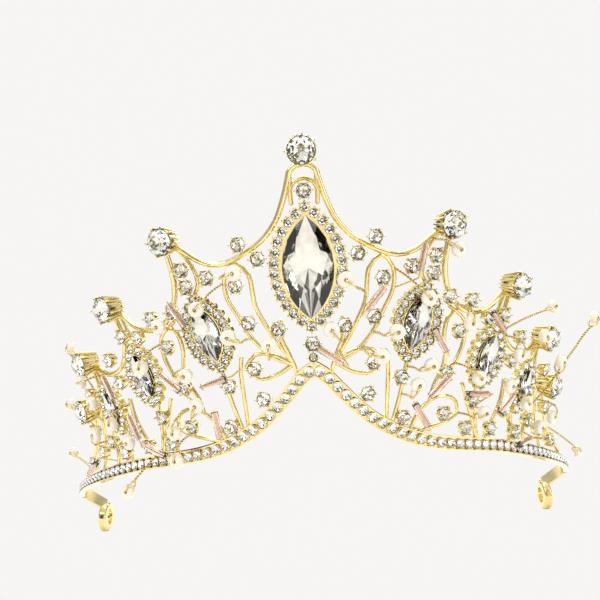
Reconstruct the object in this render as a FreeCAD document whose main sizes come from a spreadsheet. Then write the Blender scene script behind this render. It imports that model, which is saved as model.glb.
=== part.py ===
"""Bridal crown: a cast and brazed gold-plated frame, set with crystals and hung with wired beads.

The frame is laid out on a wall that wraps round the head. A place on the wall has two coordinates:
u runs round the oval from the centre of the front, to the wearer's sides, and v runs up from the
waist of the wall, where it is narrowest. A third, off, stands out from the wall. The frame is the
same on both sides, so one list serves both; the bead sprigs are wired by hand and differ.
Millimetres, +Z up, front towards -Y, origin at the middle of the head seat.
"""
import FreeCAD
import Part
import math
import os
from FreeCAD import Vector

doc = FreeCAD.newDocument("crown")

# ---------------------------------------------------------------- driving dimensions
DIMENSIONS = {
    "half_width": 75.0,         # head oval, side to side
    "half_depth": 80.0,         # head oval, centre to front
    "seat_setback": 42.0,       # from the oval's centre forward to the origin
    "wall_flare": 12.0,         # degrees that the wall leans outward
    "wall_waist": 3.0,          # how softly the flare turns at the waist
    "band_height": 3.1,
    "band_thickness": 0.9,
    "band_lip": 0.3,
    "band_lip_rise": 0.6,
    "band_end": 104.0,          # where the stones stop and the plain arm begins
    "band_stone_pitch": 2.66,
    "band_stone_dia": 2.3,
    "band_stone_bed": 0.08,     # of glue under each stone
    "arm_height": 3.4,
    "arm_thickness": 1.1,
    "loop_outer_radius": 4.6,
    "loop_hole_radius": 2.4,
    "loop_width": 2.6,
    "rail_dia": 1.3,
    "scroll_dia": 1.0,
    "setting_plate": 0.9,
    "bezel_wall": 0.45,
    "bezel_rise": 2.1,
    "bezel_grip": 0.5,          # the stone's crown starts this far below the bezel's rim
    "stone_sink": 0.3,          # the stone's seat is cut this deep into the floor
    "stone_clearance": 0.1,
    "centre_length": 22.0,
    "centre_width": 11.0,
    "inner_length": 12.6,
    "inner_width": 6.0,
    "middle_length": 10.6,
    "middle_width": 5.2,
    "outer_length": 8.6,
    "outer_width": 4.2,
    "halo_cup_dia": 2.65,
    "halo_stone_dia": 2.1,
    "halo_cup_rise": 1.2,
    "halo_pocket": 0.5,
    "claw_cup_dia": 4.0,
    "claw_stone_dia": 3.3,
    "claw_cup_height": 1.9,
    "claw_pocket": 0.7,
    "peak_cup_dia": 6.9,
    "peak_stone_dia": 6.2,
    "peak_cup_height": 4.6,
    "peak_pocket": 1.2,
    "bead_dia": 3.5,
    "bead_thickness": 1.8,
    "bead_hole_dia": 0.9,
    "bead_wire_dia": 0.4,
    "stem_dia": 0.6,
    "wire_gap": 0.3,
    "bugle_length": 6.2,
    "bugle_dia": 1.6,
    "bugle_hole_dia": 0.8,
}

sheet = doc.addObject("Spreadsheet::Sheet", "sheet")
for row, (alias, value) in enumerate(DIMENSIONS.items(), start=1):
    sheet.set(f"A{row}", alias)
    sheet.set(f"B{row}", str(value))
    sheet.setAlias(f"B{row}", alias)
doc.recompute()


def size(alias):
    return float(getattr(sheet, alias))


# ---------------------------------------------------------------- the wall
A = size("half_width")
B = size("half_depth")
OVAL_STEPS = 720
FIRST_GUESS = 0.8               # of the way to a length in the table, where its search starts
NUDGE = 0.05                    # along the wall, to find its direction


def oval_table():
    """Arc length from the front against the oval's angle, by short steps."""
    rows = [(0.0, 0.0)]
    length = 0.0
    step = math.pi / OVAL_STEPS
    for n in range(OVAL_STEPS):
        middle = (n + 0.5) * step
        length += math.hypot(A * math.cos(middle), B * math.sin(middle)) * step
        rows.append((length, (n + 1) * step))
    return rows


OVAL = oval_table()


def angle_at(u):
    reach = abs(u)
    n = min(int(reach / OVAL[-1][0] * OVAL_STEPS * FIRST_GUESS), OVAL_STEPS - 1)
    while n and OVAL[n][0] > reach:
        n -= 1
    while OVAL[n + 1][0] < reach:
        n += 1
    (before, start), (after, end) = OVAL[n], OVAL[n + 1]
    return math.copysign(start + (end - start) * (reach - before) / (after - before), u)


def flare_out(v):
    return math.tan(math.radians(size("wall_flare"))) * math.hypot(v, size("wall_waist"))


def wall(u, v, off=0.0):
    """The point that stands `off` outside the wall at (u, v)."""
    angle = angle_at(u)
    outward = Vector(math.sin(angle) / A, -math.cos(angle) / B, 0).normalize()
    on_oval = Vector(A * math.sin(angle), size("seat_setback") - B * math.cos(angle), v)
    lean = math.atan(math.tan(math.radians(size("wall_flare"))) * v / math.hypot(v, size("wall_waist")))
    normal = outward * math.cos(lean) - Vector(0, 0, math.sin(lean))
    return on_oval + outward * flare_out(v) + normal * off


def spot(u, v, off=0.0, spin=0.0, tip=0.0):
    """A frame on the wall: X along it, Y up it and Z out of it, spun about Z and tipped about X."""
    here = wall(u, v)
    out = (wall(u, v, 1.0) - here).normalize()
    along = (wall(u + NUDGE, v) - wall(u - NUDGE, v)).normalize()
    up = out.cross(along).normalize()
    along = up.cross(out)
    turn = FreeCAD.Rotation(out, spin)
    along, up = turn.multVec(along), turn.multVec(up)
    turn = FreeCAD.Rotation(along, tip)
    up, out = turn.multVec(up), turn.multVec(out)
    place = here + (wall(u, v, 1.0) - here).normalize() * off
    return FreeCAD.Placement(place, FreeCAD.Rotation(along, up, out, "ZXY"))


def curve(points, step=1.5):
    """A smooth route through a few (u, v) points, as more of them."""
    ends = [2 * Vector(*points[0]) - Vector(*points[1]), 2 * Vector(*points[-1]) - Vector(*points[-2])]
    knots = [ends[0]] + [Vector(*p) for p in points] + [ends[1]]
    route = []
    for a, b, c, d in zip(knots, knots[1:], knots[2:], knots[3:]):
        pieces = max(2, round((c - b).Length / step))
        for n in range(pieces):
            t = n / pieces
            route.append(0.5 * (2 * b + (c - a) * t + (2 * a - 5 * b + 4 * c - d) * t * t
                                + (3 * b - a - 3 * c + d) * t ** 3))
    return [(p.x, p.y) for p in route] + [tuple(points[-1][:2])]


# ---------------------------------------------------------------- the design, right-hand side
BAND_LINE = [(0, 21.6), (2.6, 19.6), (6.4, 15.2), (11.9, 9.8), (18.5, 5.8), (25.8, 3.2), (33.7, 1.6),
             (45, -0.3), (60, -3.9), (76, -8.3), (90, -12.4), (104, -17.0)]
RAILS = [
    [(2.6, 62.4), (3.7, 58.2), (5.6, 53.2), (8.6, 49.4), (12.6, 46.8), (17.4, 45.2), (21.4, 46.4),
     (24.6, 49.0), (26.2, 50.2)],
    [(28.6, 49.6), (27.9, 44.6), (28.0, 40.5), (29.2, 36.4), (32.4, 33.0), (36.4, 32.0),
     (40.2, 33.2), (43.0, 35.4), (44.6, 37.0)],
    [(46.8, 36.6), (45.4, 31.5), (45.6, 27.5), (47.6, 24.0), (51.2, 22.2), (55.2, 22.0),
     (58.4, 23.0), (60.0, 24.0)],
    [(62.2, 23.4), (61.0, 18.5), (61.6, 14.2), (63.8, 11.6), (66.0, 11.4)],
    [(68.8, 11.6), (70.8, 7.0), (75.4, 0.4), (82.0, -5.6), (89.2, -10.6)],
]
SCROLLS = [
    [(14.6, 33.4), (16.6, 38.0), (16.5, 42.6), (14.1, 45.2), (11.7, 42.6), (11.2, 38.4), (10.8, 35.2),
     (8.0, 29.0), (4.2, 22.6), (3.6, 19.6)],
    [(14.6, 33.4), (12.2, 28.6), (8.4, 24.4), (4.2, 22.6)],
    [(6.2, 32.2), (6.4, 28.6), (5.2, 25.4), (4.2, 22.6)],
    [(4.2, 22.6), (8.2, 24.8), (12.0, 25.0), (14.2, 22.4)],
    [(4.2, 22.6), (8.2, 20.2), (12.0, 19.8), (14.2, 22.4)],
    [(15.0, 24.6), (15.6, 20.6), (15.4, 14.0), (15.2, 8.2)],
    [(20.4, 24.6), (19.6, 20.6), (18.4, 14.4), (16.6, 8.0)],
    [(20.6, 5.2), (22.4, 9.2), (25.8, 12.6), (29.4, 13.2), (32.4, 11.6), (33.0, 8.8)],
    [(20.6, 5.2), (25.4, 6.2), (30.2, 7.2), (33.0, 8.8)],
    [(29.4, 33.6), (33.4, 30.2), (33.6, 25.4), (31.4, 20.6), (28.4, 19.6)],
    [(31.6, 32.8), (29.2, 31.0), (28.4, 26.8), (29.0, 22.6), (28.4, 19.6), (26.4, 15.6), (25.6, 12.2)],
    [(34.0, 15.6), (36.0, 10.0), (38.4, 4.6), (39.0, 1.6)],
    [(38.0, 15.2), (38.2, 10.0), (38.8, 4.6), (39.8, 1.6)],
    [(47.8, 15.6), (47.0, 10.4), (44.0, 5.0), (41.6, 1.4)],
    [(48.4, 8.6), (50.8, 4.8), (54.4, 2.6), (57.8, 0.6), (58.2, -2.6)],
    [(59.4, 8.6), (59.4, 4.2), (58.2, 0.8), (58.2, -2.6)],
    [(63.4, 11.8), (64.6, 6.0), (66.4, 0.8), (66.8, -4.8)],
    [(50.8, 8.4), (51.8, 5.6), (51.6, 2.0), (51.4, -1.4)],
    [(57.2, 18.4), (59.2, 20.6), (60.4, 23.2)],
    [(44.0, 27.6), (41.4, 28.2), (41.2, 29.4), (43.6, 33.2), (44.8, 36.6)],
    [(24.2, 38.0), (22.4, 41.6), (23.4, 46.0), (25.8, 49.4)],
]
# claw-set single stones: (u, v)
CLAWS = [(12.6, 49.2), (9.2, 45.9), (14.0, 40.6), (12.2, 32.4), (6.4, 30.8), (24.9, 45.0), (24.4, 41.2),
         (19.7, 42.8), (28.4, 36.0), (33.9, 35.0), (31.0, 28.2), (43.4, 31.4), (38.6, 30.9),
         (12.0, 22.4), (10.7, 15.6), (18.4, 9.6), (17.8, 18.8), (28.2, 9.6), (34.2, 5.6), (35.9, 11.8),
         (28.4, 18.8), (41.8, 4.6), (49.8, 26.0), (47.4, 20.4), (51.2, 2.4), (46.2, 8.6), (56.8, 4.8),
         (63.6, 17.0), (63.4, 1.4), (66.8, 6.8), (71.4, -3.1)]
PEAKS = [(27.4, 51.6), (45.9, 38.4), (61.2, 25.4), (67.4, 12.6)]
CREST = (0.0, 68.2)
CREST_TIP = 14.0
CREST_ARCH = [(-2.6, 62.4), (-2.3, 63.5), (-1.3, 64.4), (0.0, 64.7), (1.3, 64.4), (2.3, 63.5), (2.6, 62.4)]
CREST_WIRES = [
    [(-2.4, 56.6), (-2.5, 59.0), (-2.4, 62.2)],
    [(2.4, 56.6), (2.5, 59.0), (2.4, 62.2)],
    [(-2.5, 59.4), (-1.8, 61.0), (0.0, 61.8), (1.8, 61.0), (2.5, 59.4)],
]
CENTRE_CLAWS = [(0.0, 59.2), (0.0, 27.2)]
APEX_CLAW = (0.0, 24.1)
# settings: name, u, v, spin to the outside, cups in the halo
SETTINGS = [("inner", 21.3, 30.6, -16.0, 18), ("middle", 39.6, 21.8, -20.0, 15),
            ("outer", 54.2, 13.6, -24.0, 12)]
CENTRE = (0.0, 43.4)
CENTRE_CUPS = 26

# ---------------------------------------------------------------- hand-wired beads, each side its own
WHITE_BEADS = {
    "left": [(-59.6, 21.4), (-56.4, 16.0), (-58.3, 8.0), (-49.6, 11.0), (-44.6, 6.6), (-36.2, 24.6),
             (-29.9, 33.6), (-25.6, 22.4), (-24.2, 15.6), (-30.6, 9.4), (-31.2, 2.6), (-21.2, 36.6),
             (-15.6, 30.2), (-8.0, 28.2), (-13.2, 43.6)],
    "right": [(6.4, 40.8), (3.6, 30.6), (15.8, 29.4), (12.8, 24.4), (22.0, 36.2), (27.8, 46.4),
              (31.4, 30.4), (23.0, 21.6), (20.2, 17.6), (34.4, 18.0), (43.6, 15.4), (36.4, 9.8),
              (45.8, 22.4), (54.4, 26.6), (50.0, 10.6), (63.4, 5.4), (57.0, 3.6)],
}
BEAD_OFF = 5.2
# glass bugles: both ends roughly, as (u, v, u, v)
BUGLES = {
    "left": [(-50.0, 22.6, -47.8, 17.1), (-43.6, 12.6, -42.0, 7.4), (-32.6, 23.0, -27.6, 18.4),
             (-27.2, 38.2, -24.4, 33.0), (-40.2, 5.8, -34.4, 3.2), (-66.0, -5.0, -61.4, -0.6),
             (-22.6, 19.6, -17.4, 21.2), (-20.8, 13.6, -20.4, 8.0)],
    "right": [(1.0, 26.8, 5.6, 23.2), (21.4, 47.6, 20.4, 42.0), (13.4, 38.6, 10.4, 34.4),
              (23.6, 29.4, 26.4, 24.6), (23.4, 14.8, 27.2, 18.4), (20.0, 13.2, 22.8, 8.2),
              (31.6, 14.4, 38.2, 13.8), (42.0, 9.2, 46.0, 12.6), (37.2, 32.6, 41.0, 28.4),
              (48.0, -1.2, 54.0, 0.4)],
}
BUGLE_OFF = 4.4
BUGLE_TIP = 0.6                 # of wire beyond a bugle's blind end
BUGLE_EXIT = 1.4                # and beyond the end where it turns down to the frame
# sprigs that stand clear of the frame: where each bead is, as (u, v, off), the foot of its stem on the
# wall, and the way the hole points
SPRIGS = {
    "left_upper_bead": ((-78.0, 29.5, 0.5), (-61.6, 14.2), (-0.75, -0.60, 0.20)),
    "left_middle_bead": ((-88.5, 13.5, 3.5), (-70.8, 7.0), (-0.80, -0.55, 0.10)),
    "left_lower_bead": ((-96.0, -3.5, 5.0), (-82.0, -5.6), (-0.85, -0.45, 0.05)),
    "left_drop_bead": ((-45.0, -7.0, 5.5), (-38.6, 3.8), (-0.45, -0.85, 0.10)),
    "right_upper_bead": ((61.5, 33.5, 3.0), (45.6, 27.5), (0.55, -0.80, -0.05)),
    "right_twig_bead": ((73.0, 31.5, 10.0), "fork", (0.60, -0.78, -0.10)),
    "right_side_bead": ((59.5, 20.5, 7.5), "bend", (0.70, -0.65, -0.25)),
    "right_drop_bead": ((91.5, -10.5, 5.0), (75.4, 0.4), (0.85, -0.50, 0.05)),
}
TWIG = {"fork": (68.5, 24.0, 7.5), "bend": (58.5, 13.5, 5.5)}
TWIG_FOOT = (59.4, 6.4)


# ---------------------------------------------------------------- masters and small helpers
def bound(obj, **links):
    for prop, expression in links.items():
        obj.setExpression(prop, expression)
    return obj


def primitive(kind, name, **links):
    return bound(doc.addObject(f"Part::{kind}", name), **links)


def boolean(kind, name, base, tool):
    obj = doc.addObject(f"Part::{kind}", name)
    obj.Base, obj.Tool = base, tool
    return obj


def cup_master(name, dia, height, seat, pocket):
    """A round stone cup on a solid foot: its seat is the floor of a shallow pocket."""
    outer = primitive("Cylinder", name + "_outer", Radius=f"sheet.{dia} / 2", Height=f"sheet.{height}")
    hollow = primitive("Cylinder", name + "_hollow", Height=f"sheet.{height}",
                       Radius=f"sheet.{seat} / 2 + sheet.stone_clearance")
    bound(hollow, **{".Placement.Base.z": f"sheet.{height} - sheet.{pocket}"})
    return boolean("Cut", name, outer, hollow)


STONE_TABLE = 0.3               # a round stone's flat top: its radius over the stone's diameter
MARQUISE_BEVEL = 0.2            # a pointed-oval crown's height and slope, over the stone's width


def stone_master(name, dia, girdle, crown):
    """A round stone: a short girdle and a bevelled crown, flat on its seat."""
    base = primitive("Cylinder", name + "_girdle", Radius=f"sheet.{dia} / 2", Height=f"{girdle}")
    top = primitive("Cone", name + "_crown", Height=f"{crown}",
                    Radius1=f"sheet.{dia} / 2", Radius2=f"sheet.{dia} * {STONE_TABLE}")
    top.Placement.Base = Vector(0, 0, girdle)
    return boolean("Fuse", name, base, top)


def vesica_prism(name, length, width, grow, rise, cone=False):
    """A pointed oval prism: what two round cylinders share. `grow` widens both its sizes."""
    half_long = f"(sheet.{length} / 2 + {grow})"
    half_wide = f"(sheet.{width} / 2 + {grow})"
    radius = f"(({half_long}) ^ 2 + ({half_wide}) ^ 2) / (2 * {half_wide})"
    sides = []
    for side, sign in (("a", 1), ("b", -1)):
        if cone:
            disc = primitive("Cone", f"{name}_{side}", Radius1=radius, Height=rise,
                             Radius2=f"{radius} - sheet.{width} * {MARQUISE_BEVEL}")
        else:
            disc = primitive("Cylinder", f"{name}_{side}", Radius=radius, Height=rise)
        bound(disc, **{".Placement.Base.x": f"{sign} * ({radius} - {half_wide})"})
        sides.append(disc)
    return boolean("Common", name, *sides)


def piece(node, shape):
    """A kept sub-part, whose shape is worked out above from the sheet."""
    obj = doc.addObject("Part::Feature", node)
    obj.Label = node
    obj.Shape = shape
    KEPT.append(obj)
    return obj


def moved(shape, placement):
    copy = shape.copy()
    copy.Placement = placement.multiply(copy.Placement)
    return copy


def copies(shape, placements):
    return [moved(shape, p) for p in placements]


DOME_RISE = 0.3                 # of a wire's diameter, at each of its ends
DOME_TIP = 0.5


def tube(points, dia):
    """A round wire through the points, mitred where its runs meet and domed at both ends."""
    runs = [(b - a).normalize() for a, b in zip(points, points[1:])]
    ways = [runs[0]] + [(a + b).normalize() for a, b in zip(runs, runs[1:])] + [runs[-1]]
    dome = dia * DOME_RISE
    points = [points[0] - runs[0] * dome] + list(points) + [points[-1] + runs[-1] * dome]
    ways = ways[:1] + ways + ways[-1:]
    seam = ways[0].cross(Vector(0.3, 0.5, 0.8)).normalize()
    rings = []
    for n, (point, before, way) in enumerate(zip(points, ways[:1] + ways, ways)):
        seam = FreeCAD.Rotation(before, way).multVec(seam)
        share = DOME_TIP if n in (0, len(points) - 1) else 1.0
        ring = Part.Wire(Part.makeCircle(share * dia / 2))
        ring.Placement = FreeCAD.Placement(point, FreeCAD.Rotation(seam, way.cross(seam), way, "ZXY"))
        rings.append(ring)
    return Part.makeLoft(rings, True, True)


def wall_tube(points, dia, side=1, off=0.0):
    return tube([wall(side * u, v, off) for u, v in curve(points)], dia)


KEPT = []
SIDES = {"left": -1, "right": 1}

# ---------------------------------------------------------------- masters
# each round stone's girdle and crown
STONE_HEIGHTS = {"band": (0.45, 0.45), "halo": (0.4, 0.45), "claw": (0.6, 0.8), "peak": (1.0, 1.3)}
halo_cup = cup_master("halo_cup", "halo_cup_dia", "halo_cup_rise", "halo_stone_dia", "halo_pocket")
claw_cup = cup_master("claw_cup", "claw_cup_dia", "claw_cup_height", "claw_stone_dia", "claw_pocket")
peak_cup = cup_master("peak_cup", "peak_cup_dia", "peak_cup_height", "peak_stone_dia", "peak_pocket")
band_stone = stone_master("band_stone", "band_stone_dia", *STONE_HEIGHTS["band"])
halo_stone = stone_master("halo_stone", "halo_stone_dia", *STONE_HEIGHTS["halo"])
claw_stone = stone_master("claw_stone", "claw_stone_dia", *STONE_HEIGHTS["claw"])
peak_stone = stone_master("peak_stone", "peak_stone_dia", *STONE_HEIGHTS["peak"])

bead_disc = primitive("Cylinder", "bead_disc",
                      Radius="sheet.bead_dia / 2", Height="sheet.bead_thickness")
bead_hole = primitive("Cylinder", "bead_hole",
                      Radius="sheet.bead_hole_dia / 2", Height="sheet.bead_thickness")
bead_drilled = boolean("Cut", "bead_drilled", bead_disc, bead_hole)
doc.recompute()
bead = doc.addObject("Part::Fillet", "bead")
bead.Base = bead_drilled
BEAD_EDGE = 0.7
bead.Edges = [(n, BEAD_EDGE, BEAD_EDGE) for n, e in enumerate(bead_drilled.Shape.Edges, start=1)
              if e.Curve.TypeId == "Part::GeomCircle" and e.Curve.Radius > size("bead_hole_dia")]
bugle_rod = primitive("Cylinder", "bugle_rod", Radius="sheet.bugle_dia / 2", Height="sheet.bugle_length")
bugle_hole = primitive("Cylinder", "bugle_hole",
                       Radius="sheet.bugle_hole_dia / 2", Height="sheet.bugle_length")
bugle = boolean("Cut", "bugle", bugle_rod, bugle_hole)


def marquise(size_name, plate_grow):
    """Masters of one pointed-oval setting: its floor and bezel, and its stone."""
    length, width = f"{size_name}_length", f"{size_name}_width"
    floor = vesica_prism(f"{size_name}_floor", length, width, plate_grow, "sheet.setting_plate")
    outer = vesica_prism(f"{size_name}_rim", length, width, "sheet.bezel_wall", "sheet.bezel_rise")
    fused = boolean("Fuse", f"{size_name}_blank", floor, outer)
    pocket = vesica_prism(f"{size_name}_pocket", length, width, "sheet.stone_clearance", "sheet.bezel_rise")
    bound(pocket.Base, **{".Placement.Base.z": "sheet.setting_plate - sheet.stone_sink"})
    bound(pocket.Tool, **{".Placement.Base.z": "sheet.setting_plate - sheet.stone_sink"})
    setting = boolean("Cut", f"{size_name}_blank_cut", fused, pocket)
    girdle = vesica_prism(f"{size_name}_girdle", length, width, "0", "sheet.bezel_rise - sheet.bezel_grip")
    bevel = f"sheet.{width} * {MARQUISE_BEVEL}"
    crown = vesica_prism(f"{size_name}_crown", length, width, "0", bevel, cone=True)
    for disc in (crown.Base, crown.Tool):
        bound(disc, **{".Placement.Base.z": "sheet.bezel_rise - sheet.bezel_grip"})
    stone = boolean("Fuse", f"{size_name}_gem", girdle, crown)
    return setting, stone


FLOOR_MARGIN = 0.55             # of a halo cup, that the floor reaches beyond the bezel
HALO_RING = 0.98                # of a halo cup, that its ring is longer and wider than the bezel
CUP_SUNK = 0.2                  # each halo cup's foot stands this deep in the floor
CUTTER_HEIGHT = 3.0
HALO_GROW = f"sheet.bezel_wall + sheet.halo_cup_dia * {FLOOR_MARGIN}"
MARQUISE = {name: marquise(name, HALO_GROW) for name in ("centre", "inner", "middle", "outer")}
doc.recompute()


def vesica_ring(length, width, count, start):
    """Even places round a pointed oval, with the way out at each: (x, y, degrees)."""
    half_long, half_wide = length / 2, width / 2
    radius = (half_long ** 2 + half_wide ** 2) / (2 * half_wide)
    half_turn = math.asin(half_long / radius)
    places = []
    for n in range(count):
        share = ((n + start) / count * 2) % 2
        side = 1 if share < 1 else -1
        turn = (1 - 2 * (share % 1)) * half_turn
        x = radius * math.cos(turn) - (radius - half_wide)
        outward = math.degrees(turn) + (0 if side > 0 else 180)
        places.append((side * x, side * radius * math.sin(turn), outward))
    return places


SETTING_BACK = -0.45            # the floor straddles the wall, as the wires do


def halo_places(size_name, count):
    grow = 2 * size("bezel_wall") + size("halo_cup_dia") * HALO_RING
    ring = vesica_ring(size(f"{size_name}_length") + grow, size(f"{size_name}_width") + grow, count, 0.0)
    seat = size("setting_plate") - CUP_SUNK
    return [FreeCAD.Placement(Vector(x, y, seat), FreeCAD.Rotation(Vector(0, 0, 1), turn))
            for x, y, turn in ring]


def setting_pieces(label, size_name, count, u, v, spin):
    """One setting on the wall: its casting with a halo of cups, its stone and the halo stones."""
    setting, stone = (m.Shape for m in MARQUISE[size_name])
    place = spot(u, v, SETTING_BACK, spin)
    cups = copies(halo_cup.Shape, halo_places(size_name, count))
    hollow_radius = size("halo_stone_dia") / 2 + size("stone_clearance")
    hollows = [Part.makeCylinder(hollow_radius, CUTTER_HEIGHT) for _ in cups]
    seat = size("halo_cup_rise") - size("halo_pocket")
    lifted = FreeCAD.Placement(Vector(0, 0, seat), FreeCAD.Rotation())
    hollows = [moved(moved(h, lifted), p) for h, p in zip(hollows, halo_places(size_name, count))]
    pocket = MARQUISE[size_name][0].Tool.Shape
    casting = setting.multiFuse(cups).cut(Part.makeCompound([pocket] + hollows))
    piece(f"{label}_setting", moved(casting, place))
    lift = FreeCAD.Placement(Vector(0, 0, size("setting_plate") - size("stone_sink")), FreeCAD.Rotation())
    piece(f"{label}_marquise_stone", moved(moved(stone, lift), place))
    stones = [moved(moved(halo_stone.Shape, lifted), p) for p in halo_places(size_name, count)]
    piece(f"{label}_halo_stones", Part.makeCompound(copies(Part.makeCompound(stones), [place])))


# ---------------------------------------------------------------- band, arms and end loops
def band_section(u, v, slope):
    """The channel's outline across the band: a back strip between two raised lips. The two halves
    meet in a mitre at the front, where the section stands upright and is longer for it."""
    mitre = u == 0
    place = spot(u, v, 0.0, 0.0 if mitre else slope)
    stretch = 1 / math.cos(math.radians(slope)) if mitre else 1.0
    half, lip = stretch * size("band_height") / 2, stretch * size("band_lip")
    back = size("band_thickness") / 2
    front = back + size("band_lip_rise")
    outline = [(half, -back), (half, front), (half - lip, front), (half - lip, back),
               (lip - half, back), (lip - half, front), (-half, front), (-half, -back)]
    return Part.makePolygon([place.multVec(Vector(0, y, z)) for y, z in outline + outline[:1]])


BAND_STEP = 4.0                 # between the band's sections


def band_route(side):
    route = [(side * u, v) for u, v in curve(BAND_LINE, BAND_STEP)]
    return [(u, v) for u, v in route if abs(u) <= size("band_end")]


def slope_of(before, after):
    return math.degrees(math.atan2(after[1] - before[1], after[0] - before[0]))


def band_slopes(route, side):
    slopes = [slope_of(*sorted((a, b))) for a, b in zip(route, route[1:])]
    return [slopes[0]] + [(a + b) / 2 for a, b in zip(slopes, slopes[1:])] + [slopes[-1]]


def band_half(side):
    route = band_route(side)
    slopes = band_slopes(route, side)
    sections = [band_section(u, v, s) for (u, v), s in zip(route, slopes)]
    return Part.makeLoft(sections, True, False)


def spaced(route, pitch, first, margin):
    """Places along a route at an even pitch, ending at least a margin short of its end."""
    runs = [(wall(*b) - wall(*a)).Length for a, b in zip(route, route[1:])]
    places, walked, target = [], 0.0, first
    for a, b, run in zip(route, route[1:], runs):
        while target <= min(walked + run, sum(runs) - margin):
            t = (target - walked) / run
            places.append((a[0] + (b[0] - a[0]) * t, a[1] + (b[1] - a[1]) * t))
            target += pitch
        walked += run
    return places


ARM_LEAD = 6.0                  # the arm first runs on this far towards the back
ARM_FORWARD = 0.6               # and lands this far in front of the eye's crown
ARM_BITE = 0.3                  # and this deep in its rim
ARM_STEPS = 6


def arm_half(side):
    """The plain arm: on from the band's end, round to the eye of the end loop."""
    end = band_route(side)[-1]
    slope = band_slopes(band_route(side), side)[-1]
    start = spot(end[0], end[1], 0.0, slope)
    ahead = start.Rotation.multVec(Vector(side, 0, 0))
    eye = loop_centre(side)
    top = eye + Vector(0, -ARM_FORWARD, size("loop_outer_radius") - ARM_BITE)
    turn = start.Base + ahead * ARM_LEAD
    half, back = size("arm_height") / 2, size("arm_thickness") / 2
    up0, out0 = start.Rotation.multVec(Vector(0, 1, 0)), start.Rotation.multVec(Vector(0, 0, 1))
    up1, out1 = Vector(0, 0.7, 0.7), Vector(side, 0, 0)
    sections = []
    for n in range(ARM_STEPS + 1):
        t = n / ARM_STEPS
        centre = start.Base * (1 - t) ** 2 + turn * (2 * t * (1 - t)) + top * t * t
        up = (up0 * (1 - t) + up1 * t).normalize()
        out = (out0 * (1 - t) + out1 * t).normalize()
        out = (out - up * out.dot(up)).normalize()
        corners = [(half, back), (-half, back), (-half, -back), (half, -back)]
        ring = [centre + up * y + out * z for y, z in corners]
        sections.append(Part.makePolygon(ring + ring[:1]))
    return Part.makeLoft(sections, True, False)


LOOP_DROP = 10.4                # below the band's end
LOOP_BACK = 9.0                 # behind it
LOOP_IN = 3.4                   # inside it
LOOP_EDGE = 0.3                 # of the eye's width, rounded off its rim
TOLERANCE = 0.01


def loop_centre(side):
    end = band_route(side)[-1]
    return wall(*end) + Vector(-side * LOOP_IN, LOOP_BACK, -LOOP_DROP)


def end_loop(side):
    name = "left" if side < 0 else "right"
    disc = primitive("Cylinder", f"{name}_loop_disc",
                     Radius="sheet.loop_outer_radius", Height="sheet.loop_width")
    hole = primitive("Cylinder", f"{name}_loop_hole",
                     Radius="sheet.loop_hole_radius", Height="sheet.loop_width")
    blank = boolean("Cut", f"{name}_loop_blank", disc, hole)
    doc.recompute()
    loop = doc.addObject("Part::Fillet", f"{name}_end_loop")
    loop.Base = blank
    edge = size("loop_width") * LOOP_EDGE
    hole_radius = size("loop_hole_radius") + TOLERANCE
    loop.Edges = [(n, edge, edge) for n, e in enumerate(blank.Shape.Edges, start=1)
                  if e.Curve.TypeId == "Part::GeomCircle" and e.Curve.Radius > hole_radius]
    loop.Label = f"{name}_end_loop"
    centre = loop_centre(side) - Vector(size("loop_width") / 2, 0, 0)
    loop.Placement = FreeCAD.Placement(centre, FreeCAD.Rotation(Vector(0, 1, 0), 90))
    KEPT.append(loop)


FIRST_STONE = 0.55              # of a pitch from the front, so that the two halves meet evenly
LAST_STONE = 0.6                # of a stone's diameter short of the arm, at least
for name, side in SIDES.items():
    piece(f"{name}_band", band_half(side))
    pitch = size("band_stone_pitch")
    places = spaced(band_route(side), pitch, FIRST_STONE * pitch, LAST_STONE * size("band_stone_dia"))
    seat = size("band_thickness") / 2 + size("band_stone_bed")
    stones = copies(band_stone.Shape, [spot(u, v, seat) for u, v in places])
    piece(f"{name}_band_stones", Part.makeCompound(stones))
    piece(f"{name}_arm", arm_half(side))
    end_loop(side)


# ---------------------------------------------------------------- rails, scrolls and crest
def wires_on_wall(routes, dia, side):
    return Part.makeCompound([wall_tube(route, dia, side) for route in routes])


for name, side in SIDES.items():
    piece(f"{name}_top_rail", wires_on_wall(RAILS, size("rail_dia"), side))
    piece(f"{name}_scrolls", wires_on_wall(SCROLLS, size("scroll_dia"), side))
crest_inner = [wall_tube(route, size("scroll_dia")) for route in CREST_WIRES]
piece("crest_arch", Part.makeCompound([wall_tube(CREST_ARCH, size("rail_dia"))] + crest_inner))

# ---------------------------------------------------------------- pointed-oval settings
setting_pieces("centre", "centre", CENTRE_CUPS, *CENTRE, 0.0)
for name, side in SIDES.items():
    for size_name, u, v, spin, count in SETTINGS:
        setting_pieces(f"{name}_{size_name}", size_name, count, side * u, v, side * spin)


# ---------------------------------------------------------------- single claw stones and peak stones
def stones_and_cups(label, cup, stone, height, pocket, places, extra_cups=(), extra_stones=()):
    piece(f"{label}_cups", Part.makeCompound(copies(cup.Shape, places) + list(extra_cups)))
    lift = FreeCAD.Placement(Vector(0, 0, size(height) - size(pocket)), FreeCAD.Rotation())
    seated = [moved(moved(stone.Shape, lift), p) for p in places]
    piece(f"{label}_stones", Part.makeCompound(seated + list(extra_stones)))


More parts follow.
